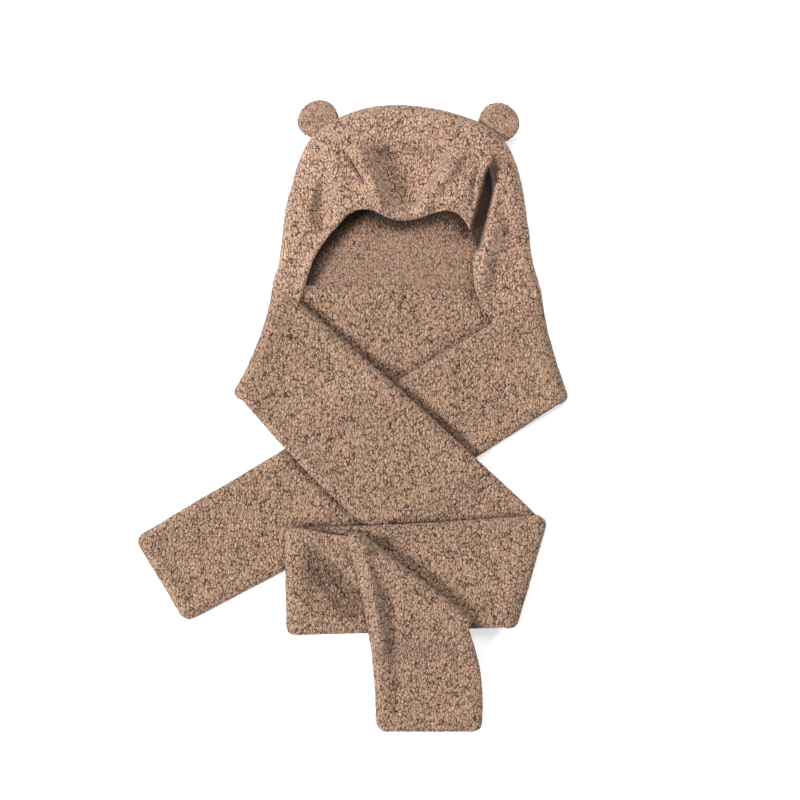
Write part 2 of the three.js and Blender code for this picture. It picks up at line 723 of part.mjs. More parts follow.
const group = new THREE.Group();
group.add(piece("scarf", loft(stripRings(), edgeCaps), 0xa98e7c));
group.add(piece("hood_front", loft(hoodRings(frontRib), ladderCaps), 0xad9180));
group.add(piece("hood_back", loft(hoodRings(backRib), ladderCaps), 0xa58976));
for (const ear of EARS) group.add(piece(ear.name, loft(earRings(ear), edgeCaps), ear.color));

// The origin is the middle of the underside of the box round the whole article
const box = new THREE.Box3().setFromObject(group);
group.position.set(-(box.min.x + box.max.x) / 2, -(box.min.y + box.max.y) / 2, -box.min.z);
group.updateMatrixWorld(true);

export default group;
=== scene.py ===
"""Hood with two round ears, sewn to a long doubled fleece scarf and laid out face up.

The pieces are modelled in millimetres in the plan in which the article was laid out, moved to the
CAD frame by the scarf's own box, and turned to metres when their meshes are made. The sizes and the
tables of legs, crossings and sections are those of the solids. Most rolls, the hollows, the rounded
fold corners and the pile are added here.
"""

from __future__ import annotations

import logging
import math
from dataclasses import dataclass, field
from enum import Enum
from itertools import product
from typing import Any

import bpy
import numpy as np
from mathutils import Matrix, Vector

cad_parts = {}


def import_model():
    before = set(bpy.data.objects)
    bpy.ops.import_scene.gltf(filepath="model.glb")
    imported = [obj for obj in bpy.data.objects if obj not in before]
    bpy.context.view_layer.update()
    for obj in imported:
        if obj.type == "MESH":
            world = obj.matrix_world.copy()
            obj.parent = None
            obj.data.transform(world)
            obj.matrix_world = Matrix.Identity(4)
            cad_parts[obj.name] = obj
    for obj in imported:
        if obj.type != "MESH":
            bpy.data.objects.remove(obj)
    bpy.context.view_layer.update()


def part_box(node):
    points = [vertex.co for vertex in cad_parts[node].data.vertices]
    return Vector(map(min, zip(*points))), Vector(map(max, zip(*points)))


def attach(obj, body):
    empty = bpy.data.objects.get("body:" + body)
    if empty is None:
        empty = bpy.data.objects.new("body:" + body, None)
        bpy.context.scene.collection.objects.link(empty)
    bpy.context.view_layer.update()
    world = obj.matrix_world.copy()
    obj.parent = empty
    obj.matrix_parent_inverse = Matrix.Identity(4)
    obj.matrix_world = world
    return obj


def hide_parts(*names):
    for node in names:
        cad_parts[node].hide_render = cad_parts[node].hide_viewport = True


log = logging.getLogger("hood_scarf")

MM = 0.001
Array = np.ndarray
Material = bpy.types.Material
Node = bpy.types.Node
Socket = bpy.types.NodeSocket
Tree = bpy.types.NodeTree
Piece = bpy.types.Object


# Helpers


def linear(hex_colour: str) -> tuple[float, float, float, float]:
    """Linear colour, with an alpha of 1, of six sRGB hex digits such as "c8b09a"."""
    channels = [int(hex_colour[i : i + 2], 16) / 255 for i in (0, 2, 4)]
    red, green, blue = (
        c / 12.92 if c <= 0.04045 else ((c + 0.055) / 1.055) ** 2.4 for c in channels
    )
    return red, green, blue, 1.0


def add_node(tree: Tree, kind: str, settings: dict[str, Any], inputs: dict[Any, Any]) -> Node:
    """Add a node with its settings and its links or values.

    Args:
        tree: The material's or world's node tree.
        kind: Blender's name of the node.
        settings: Attributes of the node.
        inputs: Sockets by name or number, each with a value or another node's output socket.

    Returns:
        The new node.
    """
    node = tree.nodes.new(kind)
    for name, value in settings.items():
        setattr(node, name, value)
    for socket, value in inputs.items():
        if isinstance(value, Socket):
            tree.links.new(value, node.inputs[socket])
        else:
            node.inputs[socket].default_value = value
    return node


def direction(degrees: float) -> Array:
    """Unit direction in plan, in degrees from +X towards +Y."""
    return np.array([math.cos(math.radians(degrees)), math.sin(math.radians(degrees))])


def smooth(x: Array | float) -> Array:
    """Smooth step from 0 to 1."""
    t = np.clip(x, 0.0, 1.0)
    return t * t * (3 - 2 * t)


def unit(vectors: Array) -> Array:
    """Vectors along the last axis, made one long."""
    return vectors / np.maximum(np.linalg.norm(vectors, axis=-1, keepdims=True), 1e-9)


def distance_to_segment(points: Array, start: Array, end: Array) -> Array:
    """Distance in plan from each point to the line between two points."""
    line = end - start
    t = np.clip(((points - start) @ line) / (line @ line), 0.0, 1.0)
    return np.linalg.norm(points - start - t[..., None] * line, axis=-1)


def distance_to_lines(points: Array, starts: Array, ends: Array) -> Array:
    """Distance in plan from each point to the nearest of some lines."""
    nearest = np.full(points.shape[:-1], np.inf)
    for start, end in zip(starts, ends):
        nearest = np.minimum(nearest, distance_to_segment(points, start, end))
    return nearest


def lifted(plan: Array, height: Array) -> Array:
    """Points in plan with their heights."""
    return np.concatenate([plan, height[..., None]], axis=-1)


def folded_flat(rings: Array) -> Array:
    """Add a ring at each end whose two faces lie on each other, which closes the skin."""
    opposite = (-np.arange(rings.shape[1])) % rings.shape[1]
    closed = (rings[[0, -1]] + rings[[0, -1]][:, opposite]) / 2
    return np.concatenate([closed[:1], rings, closed[1:]])


# Pile


def cell_randoms(cells: Array, seed: int) -> Array:
    """Three random numbers from 0 to 1 for each whole-numbered cell of a lattice, by hashing."""
    mask = np.uint64(0xFFFFFFFF)
    x, y, z = (cells[..., k].astype(np.int64).astype(np.uint64) for k in range(3))
    mixed = x * np.uint64(0x9E3779B1) ^ y * np.uint64(0x85EBCA77) ^ z * np.uint64(0xC2B2AE3D)
    mixed = (mixed + np.uint64(seed) * np.uint64(0x27D4EB2F)) & mask
    mixed = ((mixed ^ (mixed >> np.uint64(15))) * np.uint64(0x2C1B3C6D)) & mask
    mixed = ((mixed ^ (mixed >> np.uint64(12))) * np.uint64(0x297A2D39)) & mask
    mixed ^= mixed >> np.uint64(15)
    parts = [(mixed >> np.uint64(shift)) & np.uint64(1023) for shift in (0, 10, 20)]
    return np.stack(parts, axis=-1).astype(np.float64) / 1023


def soft_noise(points: Array, size: float, seed: int) -> Array:
    """Three smooth noises from 0 to 1 at points, changing over a size, both in millimetres."""
    scaled = points / size
    cells = np.floor(scaled)
    part = smooth(scaled - cells)
    total = np.zeros_like(points)
    for corner in product((0, 1), repeat=3):
        weight = np.prod(np.where(corner, part, 1 - part), axis=-1)
        total += weight[..., None] * cell_randoms(cells + corner, seed)
    return total


def tufts(points: Array, size: float, seed: int) -> tuple[Array, Array, Array]:
    """Distances to the nearest and the second of many scattered tuft middles, and a random number.

    Distances are shares of size, the mean distance between tufts in millimetres. The random number,
    from 0 to 1, belongs to the nearest tuft. Seed tells one scatter from another.
    """
    scaled = points / size
    cells = np.floor(scaled)
    nearest = np.full(points.shape[:-1], np.inf)
    second = nearest.copy()
    owner = np.zeros_like(nearest)
    for offset in product((-1, 0, 1), repeat=3):
        cell = cells + offset
        randoms = cell_randoms(cell, seed)
        distance = np.linalg.norm(scaled - cell - randoms, axis=-1)
        closer = distance < nearest
        second = np.where(closer, nearest, np.minimum(second, distance))
        owner = np.where(closer, (randoms[..., 0] * 7.13 + randoms[..., 1] * 3.7) % 1.0, owner)
        nearest = np.where(closer, distance, nearest)
    return nearest, second, owner


@dataclass(frozen=True)
class Pile:
    """Curly pile of a sherpa fleece: small curls, gathered in clumps with cracks between them.

    Sizes, bends and depths are in millimetres. The crack and the painted shade's weight are shares.
    """

    curl: float = 4.8
    clump: float = 10.0
    depth: float = 0.9
    crack: float = 0.4
    swell: float = 0.9
    proud: float = 0.9
    seed: int = 11
    bend_size: float = 6.0
    drift_size: float = 13.0
    patch_size: float = 15.0
    swell_size: float = 27.0
    curl_bend: float = 3.6
    clump_bend: float = 2.0
    clump_drift: float = 9.0
    painted_shade_weight: float = 5.0

    def height(self, points: Array) -> tuple[Array, Array]:
        """Height of the pile at points in millimetres, from 0 at its roots to 1 at its tips.

        With it comes a slow swell from 0 to 1.
        """
        bend = soft_noise(points, self.bend_size, self.seed) - 0.5
        nearest, second, owner = tufts(points + self.curl_bend * bend, self.curl, self.seed + 1)
        dome = np.clip(1.1 - nearest * nearest * 1.1, 0, 1)
        edge = smooth((second - nearest) / 0.5)
        curls = dome * (0.6 + 0.4 * edge) * (0.75 + 0.25 * owner)
        drift = soft_noise(points, self.drift_size, self.seed + 2) - 0.5
        moved = points + self.clump_drift * drift + self.clump_bend * bend
        near, far, _ = tufts(moved, self.clump, self.seed + 3)
        patches = soft_noise(points, self.patch_size, self.seed + 4)[..., 0]
        crack = (1 - smooth((far - near) / 0.3)) * smooth((patches - 0.36) / 0.2) * self.crack
        height = np.clip(0.25 + 0.75 * curls - crack, 0, 1)
        return height, soft_noise(points, self.swell_size, self.seed + 5)[..., 0]


def deselect_all() -> None:
    """Leave no object selected."""
    bpy.ops.object.select_all(action="DESELECT")


def read_vectors(items: Any, name: str) -> Array:
    """Vectors that each item of a mesh keeps under a name."""
    flat = np.empty(len(items) * 3)
    items.foreach_get(name, flat)
    return flat.reshape(-1, 3)


def write_numbers(mesh: bpy.types.Mesh, name: str, numbers: Array) -> None:
    """Keep a number of each point as an attribute."""
    attribute = mesh.attributes.new(name, "FLOAT", "POINT")
    attribute.data.foreach_set("value", numbers.astype(np.float32))


def closed_skin(
    name: str, rings: Array, pile: Pile, painted_shade: Array | None = None
) -> Piece:
    """Make a closed piled skin through rings of equally many points.

    Args:
        name: Name of the piece.
        rings: Points in millimetres in the CAD frame, as rings, points of a ring and x, y, z. The
            first and last rings are folded flat, so that their two sides meet and close the skin.
        pile: The pile that stands on the skin. It stays inside the skin given.
        painted_shade: Painted shade at each point, from 0 to 1, which darkens the pile's colour.

    Returns:
        The piece, with its pile's height, less the painted shade, in the attribute pile.
    """
    count, around = rings.shape[:2]
    deselect_all()
    bpy.ops.mesh.primitive_grid_add(
        x_subdivisions=count - 1, y_subdivisions=around, size=1, calc_uvs=False
    )
    piece = bpy.context.object
    piece.name = name
    mesh = piece.data
    mesh.name = name
    grid = read_vectors(mesh.vertices, "co") + 0.5
    row = np.rint(grid[:, 0] * (count - 1)).astype(int)
    column = np.rint(grid[:, 1] * around).astype(int) % around
    mesh.vertices.foreach_set("co", (rings[row, column] * MM).ravel())
    if painted_shade is not None:
        write_numbers(mesh, "painted_shade", painted_shade[row, column])
    mesh.update()
    bpy.ops.object.mode_set(mode="EDIT")
    bpy.ops.mesh.select_all(action="SELECT")
    bpy.ops.mesh.remove_doubles(threshold=0.01 * MM)
    bpy.ops.mesh.normals_make_consistent(inside=False)
    bpy.ops.object.mode_set(mode="OBJECT")
    raise_pile(piece, pile)
    bpy.ops.object.shade_smooth()
    return piece


def raise_pile(piece: Piece, pile: Pile) -> None:
    """Move the skin's points so that the pile stands on it, and keep its height, less the painted
    shade, as an attribute.
    """
    mesh = piece.data
    places = read_vectors(mesh.vertices, "co")
    normals = read_vectors(mesh.vertex_normals, "vector")
    height, swell = pile.height(places / MM)
    drop = (1 - height) * pile.depth + (1 - swell) * pile.swell
    drop -= pile.proud * smooth((normals[:, 2] + 0.5) / 0.8)
    mesh.vertices.foreach_set("co", (places - normals * drop[:, None] * MM).ravel())
    # Painted shade: the pile attribute is lowered by the painted shade given, which darkens only the
    # colour
    painted_shade = np.zeros(len(height), np.float32)
    if "painted_shade" in mesh.attributes:
        mesh.attributes["painted_shade"].data.foreach_get("value", painted_shade)
    write_numbers(mesh, "pile", height - pile.painted_shade_weight * painted_shade)
    mesh.update()


# Scarf


class Tail(Enum):
    """The three stretches of the strip, from its right end to its left end."""

    RIGHT = "right"
    BAND = "band"
    LEFT = "left"


@dataclass(frozen=True)
class Leg:
    """A straight stretch of the strip: share is of its tail's length and level counts from below."""

    name: str
    tail: Tail
    share: float
    heading: float
    level: int
    neck_bow: float
    free_bow: float


@dataclass(frozen=True)
class Crossing:
    """An end of the strip or a fold line: half widths, a turn in degrees and a bow, as shares."""

    name: str
    neck: float
    free: float
    skew: float
    bow: float


@dataclass(frozen=True)
class Roll:
    """A soft roll or hollow along a line, with its rise and reach as shares."""

    name: str
    start: tuple[float, float]
    end: tuple[float, float]
    rise: float
    reach: float


@dataclass(frozen=True)
class Hollow:
    """A sunken place with corners anticlockwise in plan, a depth and the widths of its walls.

    Corners and depth are shares, and each wall's width is in millimetres and belongs to the edge
    that starts at the corner of the same number.
    """

    name: str
    corners: tuple[tuple[float, float], ...]
    depth: float
    walls: tuple[float, ...]


@dataclass(frozen=True)
class FoldLine:
    """A crossing in plan, in millimetres."""

    middle: Array
    line: Array
    outward: Array
    neck: float
    free: float
    bow: float


@dataclass
class Scarf:
    """The long doubled strip: the band behind the neck and both tails, folded and crossed."""

    pile: Pile
    cloth_thickness: float = 8.5
    layer_gap: float = 0.5
    width: float = 137.5
    edge_rounding: float = 6.0
    right_tail: float = 569.0
    left_tail: float = 1072.0
    drape_run: float = 40.0
    puff: float = 3.4
    puff_inset: float = 12.0
    puff_reach: float = 10.0
    corner_rounding: float = 9.0
    corner_share: float = 0.17
    last_hidden_fold: int = 2
    # Painted shade in hollows and beside upper layers' edges, and how far in millimetres it runs out
    hollow_painted_shade: float = 0.12
    layer_painted_shade: float = 0.3
    painted_shade_run: float = 13.0
    neck_width: float = 318.0
    step: float = 1.6
    # Place, thickness and width, as shares, of the rings that round off an end
    end_rounds: tuple[tuple[float, float, float], ...] = (
        (0.0, 0.0, 0.8),
        (0.06, 0.35, 0.86),
        (0.25, 0.72, 0.93),
        (0.6, 0.95, 0.985),
    )
    legs: tuple[Leg, ...] = (
        Leg("right_tail", Tail.RIGHT, 1.0, 31.2, 1, -0.01, 0.06),
        Leg("neck_band", Tail.BAND, 1.0, 179.0, 0, 0.07, 0.0),
        Leg("left_cross", Tail.LEFT, 0.4115, -40.7, 2, 0.03, 0.13),
        Leg("left_return", Tail.LEFT, 0.273, -177.6, 3, -0.02, 0.0),
        Leg("left_forth", Tail.LEFT, 0.1415, 0.0, 4, 0.0, 0.0),
        Leg("left_end", Tail.LEFT, 0.178, -84.6, 5, -0.07, 0.07),
    )
    crossings: tuple[Crossing, ...] = (
        Crossing("right_end", 0.92, 0.88, 0, 0),
        Crossing("right_shoulder", 0.9, 1.03, 0, -0.035),
        Crossing("left_shoulder", 1.0, 1.05, 0, -0.055),
        Crossing("right_turn", 0.98, 1.05, 3, 0),
        Crossing("left_turn", 0.98, 0.99, 0, 0),
        Crossing("corner_turn", 1.06, 0.97, 4.7, 0),
        Crossing("left_end", 0.95, 0.95, -5.4, 0),
    )
    rolls: tuple[Roll, ...] = (
        Roll("left_end", (0.0, 0.8), (0.55, 0.78), 0.75, 0.06),
        Roll("left_end", (0.25, 0.52), (0.75, 0.5), -0.3, 0.07),
        Roll("left_forth", (0.27, 0.35), (0.4, -0.5), -1.0, 0.17),
        Roll("left_forth", (0.44, 0.75), (0.62, -0.3), 0.5, 0.07),
        Roll("left_cross", (0.3, 0.55), (0.75, 0.5), 0.18, 0.2),
        Roll("right_tail", (0.08, 0.1), (0.42, 0.0), 0.15, 0.3),
    )
    folds: list[FoldLine] = field(default_factory=list)
    outlines: list[Array] = field(default_factory=list)
    shift: Array = field(default_factory=lambda: np.zeros(3))
    pieces: list[Piece] = field(default_factory=list)

    def __post_init__(self) -> None:
        """Lay the strip out in plan and find how far the CAD frame lies from that plan."""
        self.half = self.cloth_thickness / 2
        self.pitch = self.cloth_thickness + self.layer_gap
        self.bend_radius = self.pitch / 2
        self.folds = self.lay_out()
        self.outlines = [self.outline(i) for i in range(len(self.legs))]
        coarse = np.concatenate([self.leg_outline_points(i) for i in range(len(self.legs))])
        low, high = (np.array(corner[:2]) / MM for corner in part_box("scarf"))
        middle = (coarse.min(axis=0) + coarse.max(axis=0)) / 2
        self.shift[:2] = (low + high) / 2 - middle

    def band_length(self) -> float:
        """Length of the band's middle line: its neck edge is as long as the hood is wide."""

        def slant(one: Leg, other: Leg) -> float:
            turn = abs(one.heading - other.heading) / 2
            return 1 / math.tan(math.radians(180 - turn if turn > 90 else turn))

        slants = slant(self.legs[0], self.legs[1]) + slant(self.legs[1], self.legs[2])
        return self.neck_width + self.width / 2 * slants

    def neck_normal(self, leg: int) -> Array:
        """Direction from a leg towards its neck edge: each fold turns the strip over."""
        way = direction(self.legs[leg].heading)
        side = 1 if leg % 2 == 0 else -1
        return np.array([-way[1] * side, way[0] * side])

    def lay_out(self) -> list[FoldLine]:
        """Place the strip's ends and fold lines in plan."""
        whole = {
            Tail.RIGHT: self.right_tail,
            Tail.BAND: self.band_length(),
            Tail.LEFT: self.left_tail,
        }
        lengths = [whole[leg.tail] * leg.share for leg in self.legs]
        ways = [direction(leg.heading) for leg in self.legs]
        middles = [-ways[1] * lengths[1] / 2 - ways[0] * lengths[0]]
        for way, length in zip(ways, lengths):
            middles.append(middles[-1] + way * length)
        last = len(self.legs)
        folds = []
        for i, crossing in enumerate(self.crossings):
            incoming = ways[max(i - 1, 0)]
            outgoing = ways[min(i, last - 1)]
            neck_side = self.neck_normal(last - 1 if i == last else i)
            line = neck_side if i in (0, last) else unit(incoming + outgoing)
            turn = math.radians(crossing.skew)
            line = np.array(
                [
                    line[0] * math.cos(turn) - line[1] * math.sin(turn),
                    line[0] * math.sin(turn) + line[1] * math.cos(turn),
                ]
            )
            if line @ neck_side < 0:
                line = -line
            reach = self.width / 2 / abs(line @ neck_side)
            outward = np.array([line[1], -line[0]])
            if outward @ incoming < 0:
                outward = -outward
            sizes = (reach * crossing.neck, reach * crossing.free, self.width * crossing.bow)
            folds.append(FoldLine(middles[i], line, outward, *sizes))
        return folds

    def crossing_point(self, fold: int, across: Array | float) -> Array:
        """Point of a fold line in plan, across from -1 at the free edge to 1 at the neck edge."""
        f = self.folds[fold]
        across = np.asarray(across, dtype=float)
        reach = np.where(across >= 0, f.neck, f.free) * across
        bow = f.bow * (1 - across * across)
        return f.middle + f.line * reach[..., None] + f.outward * bow[..., None]

    def soft_crossing(self, fold: int, across: Array) -> Array:
        """Point of a fold line whose corners are rounded, apart from those that the hood hides."""
        into = np.clip((np.abs(across) - 1) / self.corner_share + 1, 0, 1)
        folded = fold not in (0, len(self.legs))
        seen = ((across < 0) | (fold > self.last_hidden_fold)) & folded
        inward = self.corner_rounding * (1 - np.sqrt(1 - into * into)) * seen
        return self.crossing_point(fold, across) - self.folds[fold].outward * inward[..., None]

    def leg_length(self, leg: int) -> float:
        """Length of a leg's middle line."""
        return np.linalg.norm(self.folds[leg + 1].middle - self.folds[leg].middle)

    def leg_point(self, leg: int, along: Any, across: Any, soft: bool = False) -> Array:
        """Point of a leg in plan, along from 0 to 1 and across from -1 to 1."""
        along, across = np.broadcast_arrays(np.asarray(along, float), np.asarray(across, float))
        crossing = self.soft_crossing if soft else self.crossing_point
        start = crossing(leg, across)
        end = crossing(leg + 1, across)
        shape = self.legs[leg]
        bow = np.where(across >= 0, shape.neck_bow, shape.free_bow) * self.width
        bulge = bow * across * 4 * along * (1 - along)
        return start + (end - start) * along[..., None] + self.neck_normal(leg) * bulge[..., None]

    def outline(self, leg: int) -> Array:
        """Corners of a leg's outline in plan."""
        shares = np.linspace(0, 1, 9)
        neck = self.leg_point(leg, shares, 1.0)
        free = self.leg_point(leg, shares[::-1], -1.0)
        return np.concatenate([neck, free])

    def leg_outline_points(self, leg: int) -> Array:
        """Outline of a leg in plan with what its folds' bends add."""
        points = [self.outline(leg)]
        for fold in (leg, leg + 1):
            if 0 < fold < len(self.legs):
                line = self.crossing_point(fold, np.linspace(-1, 1, 9))
                points.append(line + self.folds[fold].outward * (self.bend_radius + self.half))
        return np.concatenate(points)

    def distance_outside(self, leg: int, points: Array) -> Array:
        """Distance of points outside a leg's outline, and 0 inside it."""
        corners = self.outlines[leg]
        before = np.roll(corners, 1, axis=0)
        nearest = distance_to_lines(points, corners, before)
        inside = np.zeros(points.shape[:-1], bool)
        for a, b in zip(corners, before):
            if a[1] != b[1]:
                spans = (a[1] > points[..., 1]) != (b[1] > points[..., 1])
                at = (b[0] - a[0]) * (points[..., 1] - a[1]) / (b[1] - a[1]) + a[0]
                inside ^= spans & (points[..., 0] < at)
        return np.where(inside, 0.0, nearest)

    def leg_height(self, leg: int, points: Array) -> Array:
        """Height of the middle of a leg's cloth, which rests on every lower leg."""
        height = np.full(points.shape[:-1], self.half)
        for i, lower in enumerate(self.legs):
            if lower.level < self.legs[leg].level:
                beyond = self.distance_outside(i, points) - self.edge_rounding
                height += self.pitch * (1 - smooth(beyond / self.drape_run))
        return height

    def relief(self, leg: int, points: Array) -> Array:
        """Height of the rolls on a leg's upper face."""
        height = np.zeros(points.shape[:-1])
        for roll in self.rolls:
            if roll.name == self.legs[leg].name:
                start = self.leg_point(leg, *roll.start)
                end = self.leg_point(leg, *roll.end)
                near = distance_to_segment(points, start, end) / (roll.reach * self.width)
                height += roll.rise * self.cloth_thickness * np.exp(-near * near)
        corners = self.outlines[leg]
        inward = distance_to_lines(points, corners, np.roll(corners, 1, axis=0))
        off = (inward - self.puff_inset) / self.puff_reach
        return height + self.puff * np.exp(-off * off)

    def painted_shade(self, first: int, last: int, rings: Array) -> Array:
        """Painted shade on some legs' pile: darker in hollows and beside the edges of upper layers.
        """
        plan = rings[..., :2] - self.shift[:2]
        lowest = np.min([self.relief(leg, plan) for leg in range(first, last + 1)], axis=0)
        painted_shade = self.hollow_painted_shade * np.clip(-lowest / self.cloth_thickness, 0, 1)
        for leg in range(len(self.legs)):
            below = rings[..., 2] < self.leg_height(leg, plan)
            near = 1 - smooth(self.distance_outside(leg, plan) / self.painted_shade_run)
            painted_shade = np.maximum(painted_shade, self.layer_painted_shade * near * below)
        return painted_shade

    def across_stations(self) -> tuple[Array, Array]:
        """Places across the strip, and the cloth's thinning there."""
        rounding = self.edge_rounding / (self.width / 2)
        turns = np.radians(np.array([72.0, 54.0, 36.0, 18.0]))
        inner = np.linspace(0, 1 - rounding, int(self.width / 2 / self.step))
        side = np.concatenate([inner[1:], 1 - rounding + rounding * np.cos(turns), [1.0]])
        across = np.concatenate([-side[::-1], [0.0], side])
        into = np.clip((np.abs(across) - 1 + rounding) / rounding, 0, 1)
        return across, np.sqrt(1 - into * into)

    def flat_rings(self, leg: int, along: Any, face_up: int, thick: Any, wide: Any) -> Array:
        """Rings round a flat leg.

        Args:
            leg: Number of the leg.
            along: Shares of the leg's length.
            face_up: 1 if the strip's first face lies on top, -1 if its second does.
            thick: Thickness of each ring as a share of the cloth's.
            wide: Width of each ring as a share of the strip's.

        Returns:
            Points as rings, points of a ring and x, y, z.
        """
        across, thinning = self.across_stations()
        thick, wide = np.broadcast_to(thick, len(along)), np.broadcast_to(wide, len(along))
        plan = self.leg_point(leg, np.asarray(along)[:, None], across * wide[:, None], soft=True)
        height = self.leg_height(leg, plan)
        thin = thinning * thick[:, None]
        top = height + (self.half + self.relief(leg, plan)) * thin
        bottom = height - self.half * thin
        first, second = (top, bottom) if face_up > 0 else (bottom, top)
        return self.ring_round(plan, first, plan, second)

    def bend_rings(self, fold: int, turns: Array, face_out: int) -> Array:
        """Rings round the strip where it folds over, at angles from straight down to straight up."""
        across, thin = self.across_stations()
        plan = self.soft_crossing(fold, across)
        heights = [self.leg_height(leg, plan) for leg in (fold - 1, fold)]
        middle = (heights[0] + heights[1]) / 2
        rise = np.abs(heights[1] - heights[0]) / 2
        cos, sin = np.cos(turns)[:, None], np.sin(turns)[:, None]
        sides = []
        for side in (1, -1):
            offset = self.half * thin * side * face_out
            out = cos * (self.bend_radius + offset)
            sides.append(plan + self.folds[fold].outward * out[..., None])
            sides.append(middle + sin * (rise + offset))
        return self.ring_round(*sides)

    def ring_round(
        self, plan: Array, z: Array, under: Array, low: Array
    ) -> Array:
        """Close the strip's two faces to rings: along one face and back along the other."""
        first, second = lifted(plan, z), lifted(under, low)
        return np.concatenate([first, second[:, -2:0:-1]], axis=1) + self.shift

    def rounded_end(self, leg: int, face_up: int, rounding: float, starts: bool) -> Array:
        """Rings that round the cloth off at an end of the strip."""
        rounds = self.end_rounds if starts else self.end_rounds[::-1]
        place, thick, wide = np.array(rounds).T
        along = place * rounding if starts else 1 - place * rounding
        return self.flat_rings(leg, along, face_up, thick, wide)

    def stretch(self, first: int, last: int) -> Array:
        """Rings of some legs in a row, with the folds between them and both ends folded flat."""
        rings: list[Array] = []
        for leg in range(first, last + 1):
            face_up = 1 if leg % 2 == 0 else -1
            length = self.leg_length(leg)
            rounding = 2 * self.edge_rounding / length
            at_start = leg == 0
            at_end = leg == len(self.legs) - 1
            if at_start:
                rings.append(self.rounded_end(leg, face_up, rounding, True))
            start, end = (rounding if at_start else 0.0), (1 - rounding if at_end else 1.0)
            shares = np.linspace(start, end, int(length * (end - start) / self.step))
            rings.append(self.flat_rings(leg, shares, face_up, 1.0, 1.0))
            if at_end:
                rings.append(self.rounded_end(leg, face_up, rounding, False))
            elif leg < last or self.legs[leg + 1].level < self.legs[leg].level:
                rings.append(self.bend(leg + 1, face_up))
        if first > 0 and self.legs[first].level > self.legs[first - 1].level:
            rings.insert(0, self.bend(first, 1 if (first - 1) % 2 == 0 else -1))
        return folded_flat(np.concatenate(rings))

    def bend(self, fold: int, face_up: int) -> Array:
        """Rings of the whole bend at a fold line, from the leg before it to the leg after it."""
        rises = 1 if self.legs[fold].level > self.legs[fold - 1].level else -1
        rise = abs(self.legs[fold].level - self.legs[fold - 1].level) * self.pitch
        count = max(8, int(rise * math.pi / 2 / self.step))
        turns = rises * np.linspace(-math.pi / 2, math.pi / 2, count + 2)
        return self.bend_rings(fold, turns[1:-1], -rises * face_up)

    def build(self) -> None:
        """Model the strip in four stretches, cut where a fold hides the cut."""
        stretches = {
            "scarf_right_tail": (0, 0, "folded"),
            "scarf_neck_band": (1, 1, "laid"),
            "scarf_left_tail": (2, 2, "folded"),
            "scarf_folded_end": (3, 5, "folded"),
        }
        for name, (first, last, held) in stretches.items():
            rings = self.stretch(first, last)
            piece = closed_skin(name, rings, self.pile, self.painted_shade(first, last, rings))
            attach(piece, "root")
            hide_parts("scarf")
            self.pieces.append(piece)

    def dress(self, material: Material) -> None:
        """Give the strip its fleece."""
        for piece in self.pieces:
            piece.data.materials.append(material)


# Hood


class SmoothPath:
    """A centripetal curve through points, as the hood's edges run."""

    def __init__(self, points: Array) -> None:
        """Keep the points, with one more beyond each end."""
        before, after = 2 * points[0] - points[1], 2 * points[-1] - points[-2]
        self.points = np.concatenate([[before], points, [after]])

    def at(self, shares: Array) -> Array:
        """Points at shares of the way along the curve."""
        last = len(self.points) - 3
        place = np.clip(shares, 0, 1) * last
        segment = np.minimum(np.floor(place).astype(int), last - 1)
        t = (place - segment)[..., None]
        p = [self.points[segment + k] for k in range(4)]
        d = [np.linalg.norm(p[k + 1] - p[k], axis=-1, keepdims=True) ** 0.5 for k in range(3)]
        t1 = (p[1] - p[0]) / d[0] - (p[2] - p[0]) / (d[0] + d[1]) + (p[2] - p[1]) / d[1]
        t2 = (p[2] - p[1]) / d[1] - (p[3] - p[1]) / (d[1] + d[2]) + (p[3] - p[2]) / d[2]
        t1, t2 = t1 * d[1], t2 * d[1]
        a = 2 * p[1] - 2 * p[2] + t1 + t2
        b = -3 * p[1] + 3 * p[2] - 2 * t1 - t2
        return ((a * t + b) * t + t1) * t + p[1]

    def tangent(self, shares: Array) -> Array:
        """Directions along the curve."""
        step = 1e-4
        return unit(self.at(np.clip(shares + step, 0, 1)) - self.at(np.clip(shares - step, 0, 1)))


@dataclass(frozen=True)
class HoodRow:
    """A section of the hood in shares: its outer edge and its face edge, and their heights."""

    out_x: float
    out_y: float
    rim_x: float
    rim_y: float
    crest: float
    rim: float


@dataclass(frozen=True)
class Ribs:
    """Curves that the hood's ribs hang on and radii of its rolled edge, one row for each rib."""

    share: Array
    blend: Array
    out: Array
    rim: Array
    inward: Array
    crest: Array
    front: Array
    back: Array


